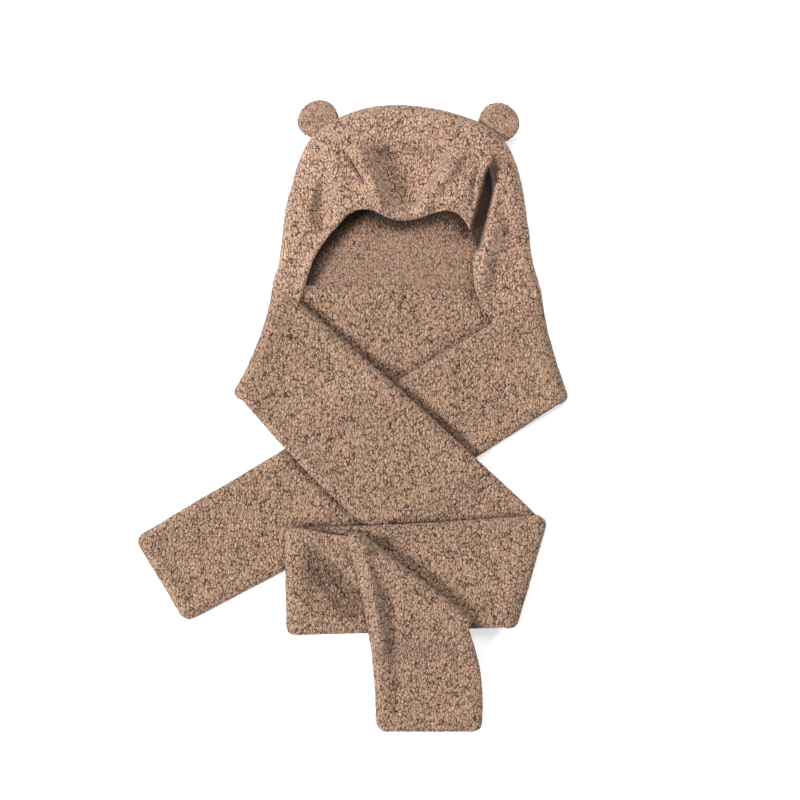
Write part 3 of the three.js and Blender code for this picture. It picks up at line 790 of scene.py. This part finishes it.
@dataclass
class Hood:
    """The crown, both side panels, the turned brim and the back, open at the face and the neck."""

    scarf: Scarf
    pile: Pile
    lining: Pile
    depth: float = 231.0
    rise: float = 38.0
    hem_thickness: float = 10.0
    hem_rounding: float = 5.0
    hem_run: float = 14.0
    tuck: float = 2.5
    left_seam: float = 34.0
    right_seam: float = 62.0
    end_blend: float = 1 / 12
    relief_fade: float = 0.3125
    back_inset: float = 0.07
    front_clearance: float = 1.25
    back_puff: float = 0.35
    ribs: int = 400
    # Painted shade in the front's deep hollows and on the lining next to the rim
    painted_shade_from_depth: float = 0.7
    rim_painted_shade: float = 0.8
    rim_painted_shade_run: float = 20.0
    rim_painted_shade_shares: tuple[float, float] = (0.02, 0.76)
    rows: tuple[HoodRow, ...] = (
        HoodRow(-1.02, 0.119, -0.78, 0.076, 0.5, 0.48),
        HoodRow(-0.99, 0.27, -0.724, 0.184, 0.66, 0.62),
        HoodRow(-0.961, 0.432, -0.638, 0.27, 0.78, 0.72),
        HoodRow(-0.905, 0.584, -0.535, 0.357, 0.86, 0.82),
        HoodRow(-0.837, 0.73, -0.472, 0.4, 0.9, 0.95),
        HoodRow(-0.725, 0.852, -0.386, 0.432, 0.92, 1.05),
        HoodRow(-0.545, 0.934, -0.283, 0.432, 0.92, 1.0),
        HoodRow(-0.315, 0.99, -0.157, 0.395, 0.92, 0.72),
        HoodRow(-0.047, 1.006, -0.031, 0.378, 0.92, 0.58),
        HoodRow(0.22, 0.984, 0.094, 0.389, 0.92, 0.62),
        HoodRow(0.452, 0.942, 0.213, 0.416, 0.92, 0.9),
        HoodRow(0.65, 0.88, 0.323, 0.427, 0.92, 1.05),
        HoodRow(0.774, 0.8, 0.417, 0.4, 0.92, 0.95),
        HoodRow(0.857, 0.68, 0.488, 0.324, 0.92, 0.8),
        HoodRow(0.913, 0.519, 0.528, 0.243, 0.9, 0.9),
        HoodRow(0.952, 0.346, 0.512, 0.135, 0.84, 0.86),
        HoodRow(0.98, 0.162, 0.535, 0.0, 0.64, 0.66),
    )
    rolls: tuple[Roll, ...] = (
        Roll("left_ridge", (-0.4, 0.78), (-0.2, 0.48), 0.26, 0.03),
        Roll("right_ridge", (0.46, 0.78), (0.13, 0.47), 0.34, 0.03),
        Roll("left_crease", (-0.56, 0.84), (-0.34, 0.58), -0.15, 0.008),
        Roll("right_crease", (0.6, 0.82), (0.5, 0.52), -0.1, 0.009),
        Roll("right_panel", (0.82, 0.7), (0.69, 0.3), 0.16, 0.05),
        Roll("right_panel_edge", (0.63, 0.3), (0.59, 0.02), 0.24, 0.035),
        Roll("left_valley", (-0.72, 0.56), (-0.66, 0.36), -0.34, 0.035),
        Roll("left_roll", (-0.58, 0.72), (-0.52, 0.44), 0.16, 0.04),
        Roll("left_panel_edge", (-0.6, 0.3), (-0.78, 0.1), 0.14, 0.03),
        Roll("hem_left", (-0.2, 0.44), (-0.03, 0.41), 0.12, 0.022),
        Roll("hem_right", (-0.03, 0.41), (0.14, 0.43), 0.12, 0.022),
    )
    hollows: tuple[Hollow, ...] = (
        Hollow(
            "crown_bowl",
            ((-0.19, 0.47), (0.1, 0.45), (0.44, 0.82), (-0.42, 0.9)),
            0.6,
            (12.0, 11.0, 44.0, 26.0),
        ),
        Hollow(
            "right_valley",
            ((0.43, 0.2), (0.575, 0.2), (0.765, 0.74), (0.665, 0.8)),
            1.0,
            (14.0, 6.0, 30.0, 6.0),
        ),
    )
    pieces: list[Piece] = field(default_factory=list)

    def __post_init__(self) -> None:
        """Place the hood on the neck band and run curves through its sections."""
        s = self.scarf
        self.half_width = s.neck_width / 2
        left, right = s.crossing_point(2, 1.0), s.crossing_point(1, 1.0)
        self.middle = (left + right) / 2
        self.seam_height = s.half + s.pitch
        outs, rims = [], []
        for row in self.rows:
            outs.append([*self.place(row.out_x, row.out_y), row.crest * self.rise])
            rims.append([*self.place(row.rim_x, row.rim_y), row.rim * self.rise])
        for at, (fold, leg, seam, starts) in (
            (0, (2, 2, self.left_seam, True)),
            (len(outs) + 1, (1, 0, self.right_seam, False)),
        ):
            out, rim = self.seam_section(fold, leg, seam, starts)
            outs.insert(at, out)
            rims.insert(at, rim)
        self.sections = len(outs)
        self.outer = SmoothPath(np.array(outs))
        self.rim = SmoothPath(np.array(rims))

    def place(self, x: float, y: float) -> Array:
        """Point in plan from shares of half the neck's width and of the hood's depth."""
        return self.middle + np.array([x * self.half_width, y * self.depth])

    def seam_section(self, fold: int, leg: int, seam: float, starts: bool) -> tuple[list, list]:
        """Outer and face end of the seam of a side panel, on the tail folded forward below it."""
        s = self.scarf
        line = s.folds[fold]
        share = seam / s.leg_length(leg)
        edge = s.leg_point(leg, share if starts else 1 - share, 1.0)
        rim = edge - s.neck_normal(leg) * self.tuck
        corner = s.crossing_point(fold, 1.0)
        out = corner + line.outward * s.bend_radius - line.line * self.tuck
        return [*out, self.seam_height], [*rim, self.seam_height]

    def inward(self, shares: Array) -> Array:
        """Directions in plan from the hood's outer edge into the hood."""
        tangent = self.outer.tangent(shares)
        inward = unit(np.stack([tangent[:, 1], -tangent[:, 0]], axis=-1))
        spacing = 1 / (self.sections - 1)
        left = smooth(shares / spacing)[:, None]
        right = smooth((1 - shares) / spacing)[:, None]
        blended = -self.scarf.folds[2].outward * (1 - left) + inward * left
        return unit(-self.scarf.folds[1].outward * (1 - right) + blended * right)

    def relief(self, points: Array) -> Array:
        """Height of the ridges, valleys and the bowl of the hood's front."""
        height = np.zeros(points.shape[:-1])
        for roll in self.rolls:
            near = distance_to_segment(points, self.place(*roll.start), self.place(*roll.end))
            near = near / (roll.reach * self.scarf.neck_width)
            height += roll.rise * self.rise * np.exp(-near * near)
        for hollow in self.hollows:
            height -= hollow.depth * self.rise * self.sunken(hollow, points)
        return height

    def sunken(self, hollow: Hollow, points: Array) -> Array:
        """How far points lie down in a hollow, from 0 on its brink to 1 on its floor."""
        corners = np.array([self.place(*corner) for corner in hollow.corners])
        sunken = np.ones(points.shape[:-1])
        for a, b, wall in zip(corners, np.roll(corners, -1, axis=0), hollow.walls):
            along = unit(b - a)
            inside = (points - a) @ np.array([-along[1], along[0]])
            sunken *= smooth(inside / wall)
        return sunken

    def painted_shade_in_hollows(self, rings: Array) -> Array:
        """Painted shade on the pile in the front's deepest hollows, darkest on their floors."""
        plan = rings[..., :2] - self.scarf.shift[:2]
        painted_shade = np.zeros(plan.shape[:-1])
        for hollow in self.hollows:
            if hollow.depth > self.painted_shade_from_depth:
                painted_shade = np.maximum(painted_shade, self.sunken(hollow, plan))
        return painted_shade

    def painted_shade_under_rim(self, rings: Array) -> Array:
        """Painted shade on the lining below the brim and the left panel's rim, where their shadow
        falls.
        """
        plan = rings[..., :2] - self.scarf.shift[:2]
        rim = self.rim.at(np.linspace(*self.rim_painted_shade_shares, 60))[:, :2]
        near = distance_to_lines(plan, rim, rim[1:])
        return self.rim_painted_shade * (1 - smooth(near / self.rim_painted_shade_run))

    def settle(self, height: Array) -> Array:
        """Keep the front above the back without a sharp edge."""
        cloth = self.scarf.cloth_thickness
        lowest = cloth / 2 + self.front_clearance * cloth
        above = height - lowest
        return lowest + (above + np.sqrt(above * above + cloth * cloth / 4)) / 2

    def hang(self) -> Ribs:
        """Hang the ribs between the outer edge and the face edge."""
        s = self.scarf
        shares = np.linspace(0, 1, self.ribs)
        outer, rim, inward = self.outer.at(shares), self.rim.at(shares), self.inward(shares)
        blend = np.minimum(smooth(shares / self.end_blend), smooth((1 - shares) / self.end_blend))
        out = outer[:, :2] + inward * (s.half * blend)[:, None]
        puff = np.maximum(outer[:, 2] - self.seam_height, 0)
        front, back = s.bend_radius + puff, s.bend_radius + self.back_puff * puff
        return Ribs(shares, blend, out, rim, inward, outer[:, 2], front, back)

    def front_skin(self) -> Array:
        """Rings along the front, from the face edge over the front and round the rolled edge."""
        ribs = self.hang()
        faces = zip(self.front_panel(ribs), self.rolled_edge(ribs))
        outside, inside = (np.concatenate(pair, axis=1) for pair in faces)
        return self.closed_rings(outside, inside)

    def front_panel(self, ribs: Ribs) -> tuple[Array, Array]:
        """Both faces of the front, from the face edge to the rolled edge."""
        cloth = self.scarf.cloth_thickness
        reach = np.concatenate([np.linspace(0, 0.06, 7), np.linspace(0.075, 0.985, 66)])
        top = ribs.out + ribs.inward * ribs.front[:, None]
        rim, blend = ribs.rim[:, :2], ribs.blend[:, None]
        plan = rim[:, None] + (top - rim)[:, None] * reach[:, None]
        level = ribs.rim[:, 2:] + (ribs.crest[:, None] - ribs.rim[:, 2:]) * smooth(reach)
        raised = level + self.relief(plan) * smooth((1 - reach) / self.relief_fade) * blend
        height = raised + (self.settle(raised) - raised) * blend
        run = np.linalg.norm(top - rim, axis=-1)[:, None] * reach
        near_rim = np.exp(-((run / self.hem_run) ** 2))
        hem = cloth + (self.hem_thickness - cloth) * near_rim * blend
        into = np.clip(1 - run / self.hem_rounding, 0, 1)
        half = hem / 2 * np.sqrt(1 - into * into)
        return lifted(plan, height + half), lifted(plan, height - half)

    def rolled_edge(self, ribs: Ribs) -> tuple[Array, Array]:
        """Both faces of the rolled edge, from the front round to the back."""
        half = self.scarf.half
        centre = ((ribs.crest + half) / 2)[:, None]
        rise = ((ribs.crest - half) / 2)[:, None]
        turns = np.radians(np.concatenate([np.linspace(90, 0, 30), np.linspace(-6, -90, 12)]))
        radius = np.where(turns >= 0, ribs.front[:, None], ribs.back[:, None])
        in_plan = (radius * (1 - np.cos(turns)))[..., None]
        wrap = ribs.out[:, None] + ribs.inward[:, None] * in_plan
        face = unit(np.stack([np.cos(turns) / radius, np.sin(turns) / rise], axis=-1))
        faces = np.concatenate([-ribs.inward[:, None] * face[..., :1], face[..., 1:]], axis=-1)
        middles = lifted(wrap, centre + rise * np.sin(turns))
        return middles + faces * half, middles - faces * half

    def back_skin(self) -> Array:
        """Rings along the back, from below the rolled edge down to the neck seam."""
        s, ribs = self.scarf, self.hang()
        top = ribs.out + ribs.inward * ribs.back[:, None]
        seam = s.leg_point(1, 1 - self.back_inset - (1 - 2 * self.back_inset) * ribs.share, 1.0)
        seam = seam - s.neck_normal(1) * self.tuck
        reach = np.concatenate([np.linspace(0, 0.98, 90), [0.988, 0.994, 0.998, 1.0]])
        plan = top[:, None] + (seam - top)[:, None] * reach[:, None]
        into = np.clip((reach - 0.985) / 0.015, 0, 1)
        half = np.broadcast_to(s.half * np.sqrt(1 - into * into), plan.shape[:-1])
        return self.closed_rings(lifted(plan, s.half - half), lifted(plan, s.half + half))

    def closed_rings(self, outside: Array, inside: Array) -> Array:
        """Close a wall's two faces to rings and its first and last ribs to a line."""
        middle = (outside + inside)[[0, -1]] / 2
        outside = np.concatenate([middle[:1], outside, middle[1:]])
        inside = np.concatenate([middle[:1], inside, middle[1:]])
        return np.concatenate([outside, inside[:, ::-1]], axis=1) + self.scarf.shift

    def build(self) -> None:
        """Model the hood's front and its back, each as a doubled wall of fleece."""
        front, back = self.front_skin(), self.back_skin()
        skins = {
            "hood_front": (front, self.pile, self.painted_shade_in_hollows(front)),
            "hood_back": (back, self.lining, self.painted_shade_under_rim(back)),
        }
        for name, (rings, pile, painted_shade) in skins.items():
            piece = closed_skin(name + "_fleece", rings, pile, painted_shade)
            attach(piece, "root")
            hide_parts(name)
            self.pieces.append(piece)
            log.info("%s: %d points", name, len(piece.data.vertices))

    def dress(self, front: Material, back: Material) -> None:
        """Give the front and the lined back their fleece."""
        self.pieces[0].data.materials.append(front)
        self.pieces[1].data.materials.append(back)


# Ears


@dataclass
class Ear:
    """A round stuffed ear, sewn behind the crown's rolled edge."""

    hood: Hood
    pile: Pile
    name: str
    x: float
    y: float
    heading: float
    width: float = 51.0
    length: float = 37.0
    thickness: float = 15.0
    piece: Piece | None = None
    rows: tuple[tuple[float, float, float], ...] = (
        (0.0, 0.78, 0.55),
        (0.1, 0.86, 0.75),
        (0.28, 0.97, 0.94),
        (0.48, 1.0, 1.0),
        (0.67, 0.92, 0.94),
        (0.82, 0.74, 0.78),
        (0.93, 0.48, 0.54),
        (0.985, 0.22, 0.28),
    )

    def build(self) -> None:
        """Model the ear as a padded disc that stands out from the rolled edge."""
        hood = self.hood
        middle = hood.place(self.x, self.y)
        way = direction(self.heading)
        side = np.array([-way[1], way[0]])
        edge = hood.outer.at(np.linspace(0, 1, 401))
        near = edge[np.argmin(np.linalg.norm(edge[:, :2] - middle, axis=-1))]
        height = (near[2] + hood.scarf.half) / 2
        table = np.array(self.rows)
        shares = np.linspace(0, 1, 34) ** 0.8 * table[-1, 0]
        width = np.interp(shares, table[:, 0], table[:, 1])
        thick = np.interp(shares, table[:, 0], table[:, 2])
        angles = np.linspace(0, 2 * math.pi, 72, endpoint=False)
        offset = self.width / 2 * width[:, None] * np.cos(angles)
        up = self.thickness / 2 * thick[:, None] * np.sin(angles)
        seat_offset = self.width / 2 * table[0, 1] * np.cos(angles)
        beside = (edge[:, :2] - middle) @ side
        beyond = (edge[:, :2] - middle) @ way
        close = np.abs(beside[:, None] - seat_offset) < self.width / 20
        seat = np.where(close, beyond[:, None], -np.inf).max(axis=0) - hood.tuck
        along = seat + (self.length - seat) * shares[:, None]
        plan = middle + way * along[..., None] + side * offset[..., None]
        rings = lifted(plan, height + up) + hood.scarf.shift
        self.piece = closed_skin(self.name + "_padding", folded_flat(rings), self.pile)
        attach(self.piece, "root")
        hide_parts(self.name)
        log.info("%s: %d points", self.name, len(self.piece.data.vertices))

    def dress(self, material: Material) -> None:
        """Give the ear its fleece."""
        self.piece.data.materials.append(material)


# Finishes


@dataclass(frozen=True)
class Patterns:
    """Patterns of a material, each made of a few nodes, with their sizes in millimetres."""

    tree: Tree
    place: Socket

    def calculate(self, operation: str, *values: Socket | float) -> Socket:
        """Result of a sum on sockets and numbers."""
        settings = {"operation": operation}
        return add_node(self.tree, "ShaderNodeMath", settings, dict(enumerate(values))).outputs[0]

    def noise(self, place: Socket, size: float, detail: float) -> Node:
        """Cloudy noise over a size."""
        inputs = {"Vector": place, "Scale": 1 / (size * MM), "Detail": detail, "Roughness": 0.55}
        return add_node(self.tree, "ShaderNodeTexNoise", {}, inputs)

    def bent(self, place: Socket, size: float, by: float) -> Socket:
        """Places moved to and fro over a size, by a distance."""
        sway = self.noise(place, size, 1.0).outputs["Color"]
        inputs = {0: sway, 1: (by * MM, by * MM, by * MM), 2: place}
        settings = {"operation": "MULTIPLY_ADD"}
        return add_node(self.tree, "ShaderNodeVectorMath", settings, inputs).outputs[0]

    def stepped(
        self,
        value: Socket,
        between: tuple[float, float],
        levels: tuple[float, float],
    ) -> Socket:
        """Smooth step of a value from one level to another."""
        inputs = {"Value": value, 1: between[0], 2: between[1], 3: levels[0], 4: levels[1]}
        settings = {"interpolation_type": "SMOOTHSTEP"}
        return add_node(self.tree, "ShaderNodeMapRange", settings, inputs).outputs[0]

    def parting(
        self,
        bent: Socket,
        size: float,
        width: float,
        patch: float,
        depths: tuple[float, float],
    ) -> tuple[Socket, Socket]:
        """Dark lines between tufts, which are painted shade, and the tufts' domes.

        Args:
            bent: Places at which the tufts are looked up.
            size: Distance between tufts.
            width: Width of a line as a share of size.
            patch: Size of the patches in which lines are deep or shallow.
            depths: Depth of the lines in a shallow patch and in a deep one.

        Returns:
            The lines' depth, 0 beside them, and the domes' height from 0 to 1.
        """
        settings = {"feature": "DISTANCE_TO_EDGE"}
        inputs = {"Vector": bent, "Scale": 1 / (size * MM)}
        cells = add_node(self.tree, "ShaderNodeTexVoronoi", settings, inputs).outputs["Distance"]
        line = self.stepped(cells, (0.01, width), (1.0, 0.0))
        dome = self.stepped(cells, (0.0, 0.32), (0.0, 1.0))
        patches = self.noise(self.place, patch, 1.0).outputs["Fac"]
        opened = self.stepped(patches, (0.4, 0.58), depths)
        return self.calculate("MULTIPLY", line, opened), dome

    def ramp(self, value: Socket, *stops: tuple[float, str]) -> Socket:
        """Colours between stops, each with its place and its sRGB colour."""
        node = add_node(self.tree, "ShaderNodeValToRGB", {}, {"Fac": value})
        elements = node.color_ramp.elements
        for end in (0, -1):
            elements[end].position = stops[end][0]
            elements[end].color = linear(stops[end][1])
        for place, colour in stops[1:-1]:
            elements.new(place).color = linear(colour)
        return node.outputs["Color"]


@dataclass(frozen=True)
class SherpaFleece:
    """Knitted polyester sherpa fleece: a matt curly pile, with painted shade between the curls, pale
    at the tips.

    Sizes are in millimetres. The weights that darken or lighten are shares by which a pattern
    changes the colour.
    """

    name: str
    # Painted shade: the dark root colour shows in the partings and where the pile is low
    root: str = "3a251a"
    body: str = "bb9780"
    tip: str = "f2dbc8"
    dyes: tuple[str, str] = ("f3dfd8", "efe6d2")
    loop: float = 1.4
    curl: float = 4.6
    clump: float = 10.0
    dye: float = 40.0
    nap: tuple[float, float, float] = (1.25, 0.8, 1.0)
    parting_shade_weight: float = 1.0
    curl_painted_shade: float = 0.74
    clump_painted_shade: float = 0.5
    loop_light: float = 0.04
    pile_painted_shade: float = 0.14
    bump: float = 0.8
    bump_height: float = 1.9
    coarse_relief: float = 0.7

    def make(self) -> Material:
        """Make the fleece's material, which reads the pile's height, less the painted shade, from
        the attribute pile.
        """
        material = bpy.data.materials.new(self.name)
        material.use_nodes = True
        tree = material.node_tree
        tree.nodes.clear()
        place = add_node(tree, "ShaderNodeTexCoord", {}, {}).outputs["Object"]
        pile = add_node(tree, "ShaderNodeAttribute", {"attribute_name": "pile"}, {}).outputs["Fac"]
        patterns = Patterns(tree, place)
        calculate = patterns.calculate
        loops = patterns.noise(place, self.loop, 2.0).outputs["Fac"]
        # Winding partings between curls and, longer and deeper, between clumps, darkened as painted
        # shade
        stretched = {"Vector": place, "Scale": self.nap}
        nap = add_node(tree, "ShaderNodeMapping", {}, stretched).outputs[0]
        bent = patterns.bent(nap, 2.4, 2.8)
        curls, curl_domes = patterns.parting(bent, self.curl, 0.13, 4.0, (0.15, 1.0))
        wound = patterns.bent(bent, 9.0, 7.0)
        clumps, clump_domes = patterns.parting(wound, self.clump, 0.065, 7.0, (0.0, 1.0))
        # Painted shade: the partings darken the colour
        clump_parting_shade = calculate("MULTIPLY", clumps, self.clump_painted_shade)
        parting_shade = calculate("MULTIPLY_ADD", curls, self.curl_painted_shade, clump_parting_shade)
        lit = calculate("ADD", loops, self.loop_light)
        # Painted shade: where the pile attribute is low, in the pile's hollows and where painted
        # shade was kept, the colour is darker
        tone = calculate("MULTIPLY_ADD", pile, self.pile_painted_shade, lit)
        shade = calculate("MULTIPLY_ADD", parting_shade, -self.parting_shade_weight, tone)
        ramp = patterns.ramp(shade, (0.0, self.root), (0.55, self.body), (1.0, self.tip))
        # Uneven dye, from pinkish to olive
        dye = patterns.noise(place, self.dye, 2.0).outputs["Fac"]
        tint = patterns.ramp(dye, (0.38, self.dyes[0]), (0.62, self.dyes[1]))
        mixed = {"data_type": "RGBA", "blend_type": "MULTIPLY"}
        colour = add_node(tree, "ShaderNodeMix", mixed, {0: 0.5, 6: ramp, 7: tint})
        domes = calculate("MULTIPLY_ADD", clump_domes, self.coarse_relief, curl_domes)
        relief = calculate("MULTIPLY_ADD", loops, self.coarse_relief, domes)
        raised = {"Height": relief, "Strength": self.bump, "Distance": self.bump_height * MM}
        bump = add_node(tree, "ShaderNodeBump", {}, raised)
        matt = {
            "Base Color": colour.outputs[2],
            "Normal": bump.outputs["Normal"],
            "Roughness": 0.95,
            "IOR": 1.45,
            "Specular IOR Level": 0.1,
            "Sheen Weight": 0.2,
            "Sheen Roughness": 0.6,
        }
        surface = add_node(tree, "ShaderNodeBsdfPrincipled", {}, matt)
        add_node(tree, "ShaderNodeOutputMaterial", {}, {"Surface": surface.outputs["BSDF"]})
        return material


# Studio


@dataclass
class Studio:
    """White floor, soft light from the left and from beyond the crown, and a long lens above."""

    frame_width: float = 1.0
    height: float = 4.0
    look_at: tuple[float, float, float] = (0.0599, 0.0205, 0.015)
    sensor: float = 36.0
    floor_grey: str = "c0c0c0"
    floor_glow: float = 0.6
    sky: float = 0.36
    lights: tuple[tuple[str, tuple[float, float, float], float, float], ...] = (
        ("key_light", (-4.8, -1.5, 3.6), 1.6, 520.0),
        ("top_light", (0.9, 2.2, 2.8), 1.8, 90.0),
    )

    def build(self) -> None:
        """Set up the floor, the lights and the camera."""
        deselect_all()
        bpy.ops.mesh.primitive_plane_add(size=8, location=(0, 0, -0.0005))
        floor = bpy.context.object
        floor.name = "studio_floor"
        white = bpy.data.materials.new("matt_white_board")
        white.use_nodes = True
        board = {
            "Base Color": linear(self.floor_grey),
            "Emission Color": (1.0, 1.0, 1.0, 1.0),
            "Emission Strength": self.floor_glow,
            "Roughness": 0.9,
            "Specular IOR Level": 0.1,
        }
        for name, value in board.items():
            white.node_tree.nodes["Principled BSDF"].inputs[name].default_value = value
        floor.data.materials.append(white)
        for light in self.lights:
            self.light(*light)
        world = bpy.data.worlds.new("studio_world")
        world.use_nodes = True
        background = world.node_tree.nodes["Background"]
        background.inputs["Color"].default_value = (1, 1, 1, 1)
        background.inputs["Strength"].default_value = self.sky
        bpy.context.scene.world = world
        bpy.context.scene.view_settings.view_transform = "Standard"
        bpy.ops.object.camera_add(location=(self.look_at[0], self.look_at[1], self.height))
        camera = bpy.context.object
        camera.name = "photo_camera"
        camera.rotation_euler = (0, 0, 0)
        distance = self.height - self.look_at[2]
        camera.data.sensor_width = self.sensor
        camera.data.lens = self.sensor * distance / self.frame_width
        camera.data.clip_end = 50
        bpy.context.scene.camera = camera

    def light(self, name: str, place: tuple[float, float, float], size: float, power: float) -> None:
        """Add a soft square light that shines on the middle of the article."""
        bpy.ops.object.light_add(type="AREA", location=place)
        lamp = bpy.context.object
        lamp.name = name
        lamp.data.shape = "SQUARE"
        lamp.data.size = size
        lamp.data.energy = power
        x, y, z = place
        pitch = math.atan2(math.hypot(x, y), z)
        lamp.rotation_euler = (pitch, 0, math.atan2(y, x) + math.pi / 2)


def main() -> None:
    """Build and dress the hood scarf on its frame."""
    logging.basicConfig(level=logging.INFO, format="%(name)s: %(message)s")
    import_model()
    coarse = Pile()
    lining = Pile(curl=3.4, clump=8.0, depth=1.2, crack=0.35, seed=31)
    ear_pile = Pile(curl=3.4, clump=9.0, depth=1.3, crack=0.4, swell=0.4, seed=51)
    scarf = Scarf(pile=coarse)
    hood = Hood(scarf=scarf, pile=coarse, lining=lining)
    ears = [
        Ear(hood, ear_pile, "ear_left", -0.645, 0.885, 133),
        Ear(hood, ear_pile, "ear_right", 0.668, 0.868, 52),
    ]
    fleece = SherpaFleece("hood_fleece").make()
    strip_fleece = SherpaFleece("scarf_fleece", root="36221a", body="a98972", tip="dfc8b5").make()
    # The lining's fleece has finer curls, and its body and tip are darker as painted shade deep in
    # the hood
    shaded_lining = SherpaFleece(
        "lining_fleece_painted_shade", body="a68571", tip="dcc2ae", curl=3.4, clump=8.0, parting_shade_weight=0.8
    ).make()
    ear_fleece = SherpaFleece(
        "ear_fleece", body="b08f79", tip="ead0bb", curl=3.4, clump=8.0, parting_shade_weight=0.75
    ).make()
    Studio().build()
    scarf.build()
    scarf.dress(strip_fleece)
    hood.build()
    hood.dress(fleece, shaded_lining)
    for ear in ears:
        ear.build()
        ear.dress(ear_fleece)


if __name__ == "__main__":
    main()
